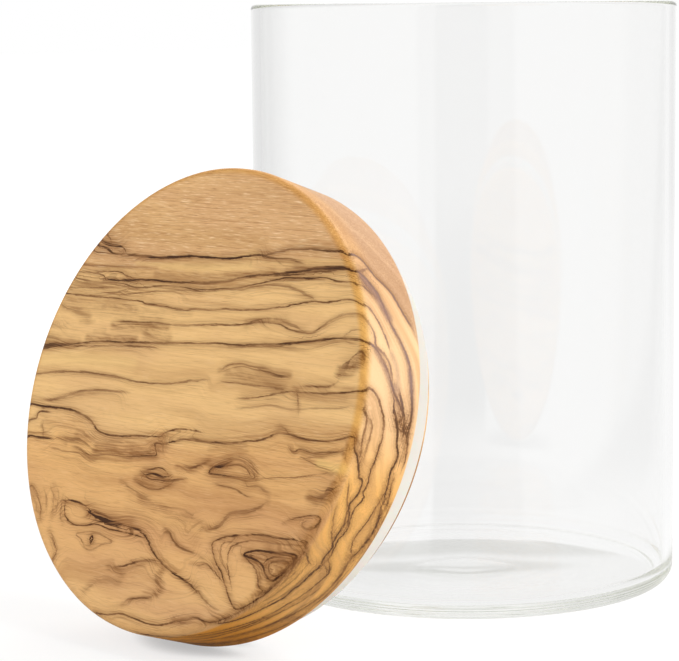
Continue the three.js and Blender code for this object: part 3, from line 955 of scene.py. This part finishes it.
# %% Seal ring
SEAL_FIT = 0.3
SEAL_ROUND = 1.1
SEAL_HEEL = 0.3
seal_inner = GROOVE_RADIUS + SEAL_FIT
seal_low, seal_high = SEAL_FIT - GROOVE_END, -GROOVE_START - SEAL_FIT
seal = begin("seal")
bpy.ops.object.mode_set(mode="EDIT")
bpy.ops.mesh.select_all(action="SELECT")
turn_about_x(math.pi / 2)
bpy.ops.transform.resize(
    value=(SEAL_RADIUS - seal_inner, 1, seal_high - seal_low), center_override=(0, 0, 0)
)
middle_radius, middle_height = (SEAL_RADIUS + seal_inner) / 2, (seal_high + seal_low) / 2
bpy.ops.transform.translate(value=(middle_radius * MM, 0, middle_height * MM))
for height in (seal_low, seal_high):
    round_corner(seal, SEAL_RADIUS, height, SEAL_ROUND, segments=6)
    round_corner(seal, seal_inner, height, SEAL_HEEL, segments=3)
bpy.ops.mesh.select_all(action="SELECT")
bpy.ops.mesh.delete(type="ONLY_FACE")
spin_section(seal, GLASS_STEPS)
face_outwards()
lean_against_jar(seal)
bpy.ops.object.shade_smooth()
count(seal)

# %% [markdown]
# ## Materials
#
# Each finish is a small tree of nodes. The helpers add a node, fill its sockets and return a wire
# from it. Wires can be added and multiplied like numbers, which adds the Math nodes for it, so a
# tree reads from top to bottom as a sum does. Values that are the same all over a surface sit on
# the shader's own sockets.


# %% Node helpers
class Wire:
    """The output of a node, to sum and multiply like a number."""

    def __init__(self, tree, socket):
        self.tree = tree
        self.socket = socket

    def __add__(self, other):
        return self.tree.math("ADD", self, other)

    def __sub__(self, other):
        return self.tree.math("SUBTRACT", self, other)

    def __rsub__(self, other):
        return self.tree.math("SUBTRACT", other, self)

    def __mul__(self, other):
        return self.tree.math("MULTIPLY", self, other)

    def __truediv__(self, other):
        return self.tree.math("DIVIDE", self, other)

    def __abs__(self):
        return self.tree.math("ABSOLUTE", self)

    __radd__ = __add__
    __rmul__ = __mul__


class Tree:
    def __init__(self, owner):
        owner.use_nodes = True
        self.tree = owner.node_tree
        self.tree.nodes.clear()

    def fill(self, socket, value):
        if isinstance(value, Wire):
            self.tree.links.new(value.socket, socket)
        else:
            socket.default_value = value

    def node(self, kind, sockets=None, **settings):
        node = self.tree.nodes.new("ShaderNode" + kind)
        for name, value in settings.items():
            setattr(node, name, value)
        for name, value in (sockets or {}).items():
            self.fill(node.inputs[name], value)
        return node

    def add(self, kind, sockets=None, out=0, **settings):
        return Wire(self, self.node(kind, sockets, **settings).outputs[out])

    def attribute(self, name, out="Fac"):
        return self.add("Attribute", out=out, attribute_name=name)

    def split(self, vector):
        return [Wire(self, socket) for socket in self.node("SeparateXYZ", {0: vector}).outputs]

    def math(self, operation, *values, clamp=False):
        return self.add("Math", dict(enumerate(values)), operation=operation, use_clamp=clamp)

    def step(self, value, low, high, to_low=0.0, to_high=1.0):
        ends = {"From Min": low, "From Max": high, "To Min": to_low, "To Max": to_high}
        return self.add("MapRange", {"Value": value, **ends}, interpolation_type="SMOOTHSTEP")

    def noise(self, vector, stretch, detail=2.0, roughness=0.5):
        """Noise with so many waves per millimetre along each of the lid's axes."""
        scaled = self.add("VectorMath", {0: vector, 1: stretch}, operation="MULTIPLY")
        looks = {"Scale": 1.0, "Detail": detail, "Roughness": roughness}
        return self.add("TexNoise", {"Vector": scaled, **looks}, out="Fac")

    def mix(self, factor, a, b, blend="MIX"):
        node = self.node("Mix", data_type="RGBA", blend_type=blend)
        for socket, value in zip((node.inputs[0], node.inputs[6], node.inputs[7]), (factor, a, b)):
            self.fill(socket, value)
        return Wire(self, node.outputs[2])


def colour(r, g, b):
    return (r, g, b, 1.0)


def grey(level):
    return colour(level, level, level)


# %% [markdown]
# ### Olive wood
#
# The ground colour goes from honey to a pinker tan, with long fibres and fine pores that run
# straight across the board whatever the veins do. Noise is stretched along the board's length, in
# the lid's own axes, so the fibres show as streaks on the face and as dots on the end grain. The
# veins are dark cores with ragged edges and a brown halo.

# %% Olive wood: colours
HONEY, TAN = colour(0.84, 0.54, 0.235), colour(0.69, 0.41, 0.195)
# The edge's wood: its own colour, with painted shade in the amber low down and painted light in the cream
# higher up.
EDGE_AMBER_SHADE, EDGE_CREAM_LIT = colour(0.89, 0.48, 0.13), colour(0.90, 0.595, 0.345)
BAND_BROWN = colour(0.52, 0.285, 0.115)
SHADED_LIGHT, SHADED_DARK = colour(0.64, 0.435, 0.29), colour(0.55, 0.355, 0.225)
FIBRE_BROWN, PORE_BROWN = colour(0.46, 0.235, 0.09), colour(0.40, 0.20, 0.075)
FLECK = colour(0.93, 0.69, 0.42)
SMEAR_BROWN, SMEAR_PALE = colour(0.26, 0.118, 0.040), colour(0.92, 0.66, 0.27)
LINE_BROWN, HAIR_BROWN = colour(0.28, 0.13, 0.046), colour(0.16, 0.072, 0.026)
# The pale purple-grey of veins on the upper edge is painted light.
VEIN_BROWN, VEIN_LIT_EDGE = colour(0.21, 0.096, 0.036), colour(0.34, 0.225, 0.20)
CORE_FACE, CORE_EDGE = colour(0.050, 0.020, 0.007), colour(0.105, 0.048, 0.022)

# %% Olive wood: where a point lies
olive = bpy.data.materials.new("olive_wood")
t = Tree(olive)
here = t.add("TexCoord", out="Object")
lid_axes = {"Location": lid_place, "Rotation": (math.pi / 2 - LEAN, 0, 0), "Scale": (MM, MM, MM)}
board = t.add("Mapping", {"Vector": here, **lid_axes}, vector_type="TEXTURE")
across, upward, height = t.split(board)
radius = t.math("SQRT", across * across + upward * upward)

fibre = t.noise(board, (0.04, 2.2, 2.2), 3.0, 0.65)
pore = t.noise(board, (0.24, 4.4, 4.4), 2.0, 0.6)
cloud = t.noise(board, (0.02, 0.10, 0.10), 2.0, 0.5)
ragged = t.noise(board, (0.22, 1.1, 1.1), 3.0, 0.6)
patchy = t.noise(board, (0.06, 0.35, 0.35), 2.0, 0.5)

# Growth layers run level across the board and bend along with the veins beside them.
grain, halo, smear = t.attribute("grain"), t.attribute("halo"), t.attribute("smear")
layers = t.add("CombineXYZ", {0: across, 1: grain, 2: height * 0.3})
band = t.noise(layers, (0.012, 0.16, 0.05), 3.0, 0.55)
growth = t.noise(layers, (0.03, 1.25, 0.1), 3.0, 0.65)
hair = t.noise(layers, (0.05, 3.4, 0.2), 2.0, 0.6)

slope = grain - 0.07 * across
front = t.step(height, 0.2, 1.6)
edge = t.step(height, 19.0, 17.6) * front
upper = t.step(slope - 4.0 * edge, 32.8, 34.8) * front
lower = t.step(slope, -8.0, -24.0)
calm_band = t.step(slope, -9.0, -2.0) * t.step(slope, 27.0, 22.0)

# %% Olive wood: ground, fibres and pores
blush = t.math("MAXIMUM", upper * 0.9, lower * 0.6)
blush = t.math("ADD", blush, t.step(cloud, 0.35, 0.7, -0.3, 0.45), clamp=True)
ground = t.mix(blush, HONEY, TAN)
# The edge takes a paler wood colour, amber low down and cream higher up: part its own colour, part painted
# light and shade.
edge_wood_and_light = t.mix(t.step(upward, -16.0, 6.0), EDGE_AMBER_SHADE, EDGE_CREAM_LIT)
ground = t.mix(edge * (0.85 - 0.85 * upper), ground, edge_wood_and_light)
ground = t.mix(t.step(band, 0.45, 0.72, 0.0, 0.6), ground, BAND_BROWN)
shaded = edge * upper * t.step(height, 17.0, 11.0, 0.0, 0.75)
ground = t.mix(shaded, ground, t.mix(t.step(band, 0.4, 0.62), SHADED_LIGHT, SHADED_DARK))
smooth = edge * (t.step(upward, 2.0, -14.0, 0.8, 0.4) - 0.55 * upper)
texture = (1.0 + 0.35 * upper - 0.5 * calm_band) * (1.0 - smooth) * (1.0 - 0.35 * lower)
ground = t.mix(t.step(fibre, 0.45, 0.75, 0.0, 0.5) * texture * (1.0 - 0.5 * lower), ground, FIBRE_BROWN)
ground = t.mix(t.step(pore, 0.54, 0.72, 0.0, 0.5) * texture, ground, PORE_BROWN)
ground = t.mix(t.step(pore, 0.46, 0.26) * texture * (0.25 * upper + 0.35), ground, FLECK)

# %% Olive wood: soft browns and growth lines beside the veins
streaky = t.step(0.5 * hair + 0.5 * fibre, 0.36, 0.60, 0.45, 1.0)
askew = t.add("Mapping", {"Vector": board, "Rotation": (0.1, 0.15, 0.16)})
cloudy = t.step(t.noise(askew, (0.16, 0.7, 0.7), 3.0, 0.6), 0.31, 0.65, 0.45, 1.12)
ground = t.mix(t.math("MULTIPLY", smear, streaky * cloudy, clamp=True), ground, SMEAR_BROWN)
ground = t.mix(t.math("MULTIPLY", smear, -1.0, clamp=True), ground, SMEAR_PALE)
ground = t.mix(halo * streaky * 0.8, ground, SMEAR_BROWN)
near_vein = t.math("MAXIMUM", halo, smear) * (1.0 - 0.5 * edge)
calm = (0.14 - 0.11 * edge) * (1.0 - 0.5 * calm_band)
lines = t.step(growth, 0.53, 0.65) * (1.0 - upper) * (0.6 * near_vein + calm)
ground = t.mix(lines, ground, LINE_BROWN)
ground = t.mix(t.step(hair, 0.56, 0.68) * (near_vein + calm) * 0.7, ground, HAIR_BROWN)

# %% Olive wood: the veins themselves
jitter = 0.9 * ragged + 0.5 * pore - 0.7
ink = 0.0
vein_values = [t.split(t.attribute(name, "Vector")) for name in ("vein_side", "vein_half", "vein_tone")]
for side_here, half_here, tone_here in zip(*vein_values):
    past = abs(side_here + jitter) - half_here
    ink = t.math("MAXIMUM", ink, t.step(past, 0.15, -0.12) * tone_here)
ink = ink * t.step(patchy, 0.3, 0.62, 0.6, 1.2) * t.step(hair, 0.3, 0.6, 0.6, 1.15)
ground = t.mix(t.math("MULTIPLY", ink, 1.5, clamp=True), ground, VEIN_BROWN)
ground = t.mix(t.step(ink, 0.4, 1.0), ground, t.mix(edge, CORE_FACE, CORE_EDGE))
# On the upper edge the veins and smears turn a pale purple-grey: painted light, where that edge is lit.
lit_vein_amount = t.math("MULTIPLY", t.math("MAXIMUM", ink, smear), 0.8, clamp=True)
ground = t.mix(edge * t.step(upward, 2.0, 14.0) * lit_vein_amount, ground, VEIN_LIT_EDGE)

# %% Olive wood: warmer places, and painted shade on the rim, the edge and below the seal
# A darker golden band along the face's rounded rim, strongest on the upper half: part the wood's own
# colour, part painted shade.
rim_tone_and_shade = t.step(radius, 53.0, 54.4) * t.step(height, 18.4, 19.6) * t.step(upward, -24.0, 2.0, 0.25, 1.0)
warm = t.step(slope, -3.0, -13.0) * t.step(slope, -46.0, -32.0, 0.45, 1.0) * (1.0 - edge)
# Painted shade: the upper part of the edge is greyer and darker.
top_edge_shade = edge * t.step(upward, 18.0, 34.0)
# Painted shade and painted warm bounced light: the lower part of the edge is darker and golden.
foot_shade_and_bounce = edge * t.step(upward, -40.0, -52.0)
# Painted shade: the wood just below the seal, on its lower side, is dark brown.
seal_gap_shade = t.step(height, -6.6, -7.4) * t.step(radius, 46.5, 48.4) * t.step(upward, 10.0, -12.0)
for amount, tint in (
    (rim_tone_and_shade * 0.85, colour(0.80, 0.665, 0.37)),
    (warm, colour(0.98, 0.905, 0.83)),
    (top_edge_shade, colour(0.85, 0.80, 0.76)),
    (foot_shade_and_bounce, colour(0.84, 0.64, 0.16)),
    (seal_gap_shade, colour(0.5, 0.36, 0.26)),
):
    ground = t.mix(amount, ground, tint, "MULTIPLY")

bump = t.add("Bump", {"Height": 0.6 * pore + fibre, "Strength": 0.25, "Distance": 0.00005})
finish = {"Roughness": 0.2 * fibre + 0.42, "IOR": 1.45, "Specular IOR Level": 0.16}
shader = t.add("BsdfPrincipled", {"Base Color": ground, "Normal": bump, **finish})
t.node("OutputMaterial", {"Surface": shader})
print("olive wood:", len(t.tree.nodes), "nodes")

# %% Glass
clear_glass = bpy.data.materials.new("clear_glass")
t = Tree(clear_glass)
finish = {"Roughness": 0.0, "IOR": 1.47, "Transmission Weight": 1.0}
shader = t.add("BsdfPrincipled", {"Base Color": colour(0.972, 0.972, 0.969), **finish})
tint = t.add("VolumeAbsorption", {"Color": colour(0.91, 0.918, 0.875), "Density": 5.5})
t.node("OutputMaterial", {"Surface": shader, "Volume": tint})

# %% Silicone
silicone = bpy.data.materials.new("silicone")
t = Tree(silicone)
here = t.add("TexCoord", out="Object")
skin = t.noise(here, (900, 900, 900), 3.0, 0.6)
# Painted light and shade: the ring is whiter low down, where less light comes to it, and greyer higher up.
rise = t.step(t.split(here)[2], 0.0, 0.07)
pale = t.mix(rise, colour(0.93, 0.93, 0.885), colour(0.615, 0.615, 0.58))
pale = t.mix(skin * 0.06, pale, colour(0.5, 0.49, 0.45))
bump = t.add("Bump", {"Height": skin, "Strength": 0.15, "Distance": 0.00005})
finish = {"Roughness": 0.42, "Subsurface Weight": 0.25, "Subsurface Scale": 0.004}
shader = t.add("BsdfPrincipled", {"Base Color": pale, "Normal": bump, **finish})
t.node("OutputMaterial", {"Surface": shader})

# %% Dress the pieces
for piece, material, body, node, slot in (
    (jar, clear_glass, "jar", "jar_glass", "clear_glass"),
    (lid, olive, "lid", "lid_wood", "olive_wood"),
    (seal, silicone, "lid", "lid_seal", "silicone"),
):
    piece.data.materials.clear()
    piece.data.materials.append(material)
    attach(piece, body)
    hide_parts(node)
jar.visible_shadow = False
jar.visible_diffuse = False
lid.visible_glossy = seal.visible_glossy = False

# %% [markdown]
# ## The studio
#
# White product photographs are lit by large soft panels, with a white sweep behind. Clear glass is
# seen almost only by what it reflects and bends, so the world gives mirror and glass rays the studio's
# walls: white panels left and right, the white background, and a darker gap where the camera stands.

# %% The studio's walls
# Places once round the object, from the camera's side, and how bright the wall is there.
WALLS = (
    (0.0, 0.97),
    (0.435, 0.97),
    (0.452, 1.0),
    (0.515, 1.0),
    (0.55, 0.82),
    (0.665, 0.72),
    (0.70, 0.97),
)
RIGHT_EDGE = 0.4275  # a darker strip that draws the jar's right side
GAP_MIDDLE = 0.0095  # the dark gap round the camera


def studio_walls(t, way, far=1.0):
    """Brightness of the studio by direction. Near the object, where far is 0, the strip is weaker."""
    turned = t.add("Mapping", {"Vector": way, "Rotation": (0, 0, -camera_heading)})
    round_about = t.add("TexGradient", {"Vector": turned}, out="Fac", gradient_type="RADIAL")
    walls = t.node("ValToRGB", {"Fac": round_about})
    ramp = walls.color_ramp
    while len(ramp.elements) < len(WALLS):
        ramp.elements.new(0.5)
    for element, (position, level) in zip(ramp.elements, WALLS):
        element.position = position
        element.color = grey(level)
    strip = t.step(abs(round_about - RIGHT_EDGE), 0.0245, 0.0125) * (0.75 * far + 0.25)
    level = t.mix(strip, Wire(t, walls.outputs["Color"]), grey(0.84))
    # The dark gap only shows in mirrored light: who looks through the glass sees the white background.
    to_right = t.math("FRACT", round_about + 0.5) - 0.5
    gap = t.step(abs(to_right - GAP_MIDDLE), 0.0625, 0.0545)
    dark = t.mix(far, t.step(to_right, -0.045, 0.07, 0.03, 0.6), grey(0.58))
    bounced = t.math("MINIMUM", t.add("LightPath", out="Glossy Depth"), 1.0)
    return t.mix(gap * bounced, level, dark)


def seen_by(t, *kinds):
    """1 for rays of these kinds, 0 for the others."""
    rays = [t.add("LightPath", out=f"Is {kind} Ray") for kind in kinds]
    return rays[0] if len(rays) == 1 else t.math("MAXIMUM", *rays)


# %% Floor
bpy.ops.object.select_all(action="DESELECT")
bpy.ops.mesh.primitive_plane_add(size=12.0, location=(0, 0, 0))
floor = bpy.context.object
floor.name = "floor"
bpy.ops.object.mode_set(mode="EDIT")
bpy.ops.mesh.select_all(action="SELECT")
bpy.ops.transform.translate(value=(0, 0, -0.2 * MM))
bpy.ops.object.mode_set(mode="OBJECT")
white_floor = bpy.data.materials.new("white_floor")
t = Tree(white_floor)
here = t.add("TexCoord", out="Object")
away = t.add("VectorMath", {0: here}, out="Value", operation="LENGTH")


def openness(distance, samples):
    """1 where the floor lies open, less where a piece comes within this distance of it."""
    return t.add("AmbientOcclusion", {"Distance": distance}, out="AO", samples=samples)


def from_spot(along, across, middle, reach):
    """Distance from the middle of an oval that reaches so far along and across, where its edge is 1."""
    a, b = (along - middle[0]) / reach[0], (across - middle[1]) / reach[1]
    return t.math("SQRT", a * a + b * b)


# The camera sees a glowing white floor, darker only where the lid comes close to it.
contact = t.step(openness(0.0036, 8), 0.0, 1.0, 0.6, 1.0)
glow = t.add("Emission", {"Color": grey(1), "Strength": contact * t.step(away, 0.15, 0.7, 0.76, 0.93)})
direct = t.add("AddShader", {0: t.add("BsdfDiffuse", {"Color": grey(0.23)}), 1: glow})
# The glass shows a soft shade on the floor under the jar, deeper at the far side and in the middle.
turned = t.add("Mapping", {"Vector": here, "Rotation": (0, 0, -camera_heading)})
deep, wide, _ = t.split(turned)
near_part = t.step(from_spot(deep, wide, (-0.0194, 0.0), (0.0507, 0.0515)), 1.02, 0.97)
base = near_part * t.step(away, 0.058, 0.053)
far_shade = t.step(deep, 0.004, 0.014, 0.0, 0.28)
middle_shade = t.step(from_spot(deep, wide, (-0.003, 0.002), (0.009, 0.036)), 1.05, 0.5, 0.0, 0.28)
shade = base * (far_shade + middle_shade + 0.09)
level = 1.0 - shade
under = t.add("CombineColor", {0: level, 1: level, 2: 1.0 - 1.08 * shade})
dim = t.step(openness(0.02, 4), 0.3, 1.0, 0.25, 1.0)
walls = studio_walls(t, here, t.step(away, 0.3, 1.6))
in_glass = t.add("Emission", {"Color": t.mix(t.step(away, 0.066, 0.2), under, walls), "Strength": dim})
paint = t.add("BsdfDiffuse", {"Color": colour(0.6, 0.58, 0.56)})
shown = t.add("MixShader", {0: seen_by(t, "Camera"), 1: paint, 2: direct})
shown = t.add("MixShader", {0: seen_by(t, "Glossy", "Transmission"), 1: shown, 2: in_glass})
t.node("OutputMaterial", {"Surface": shown})
floor.data.materials.append(white_floor)

# %% World
world = bpy.data.worlds.new("studio")
bpy.context.scene.world = world
t = Tree(world)
walls = studio_walls(t, t.add("TexCoord", out="Generated"))
level = t.mix(seen_by(t, "Glossy", "Transmission"), grey(0.5), walls)
level = t.mix(seen_by(t, "Camera"), level, grey(1))
backdrop = t.add("Background", {"Color": level, "Strength": 1.0})
t.node("OutputWorld", {"Surface": backdrop})

# %% Soft lamps
LAMPS_AIM = Vector((0, -0.04, 0.06))
LAMP_DISTANCE = 1.2


def softbox(name, heading, rise, size, watts, warmth):
    """A square lamp that looks at the object from this heading and elevation in degrees."""
    data = bpy.data.lights.new(name, "AREA")
    data.size = size
    data.energy = watts
    data.color = warmth
    lamp = bpy.data.objects.new(name, data)
    a, e = math.radians(heading), math.radians(rise)
    way = Vector((math.cos(a) * math.cos(e), math.sin(a) * math.cos(e), math.sin(e)))
    lamp.location = LAMPS_AIM + LAMP_DISTANCE * way
    lamp.rotation_euler = (LAMPS_AIM - lamp.location).to_track_quat("-Z", "Y").to_euler()
    lamp.visible_camera = lamp.visible_glossy = lamp.visible_transmission = False
    bpy.context.scene.collection.objects.link(lamp)


softbox("right_panel", 15, 35, 0.7, 12.5, (1.0, 0.97, 0.93))
softbox("left_panel", -115, 30, 1.0, 7.0, (1.0, 0.99, 0.97))
softbox("back_panel", 110, 30, 0.8, 9.0, (1.0, 0.99, 0.97))
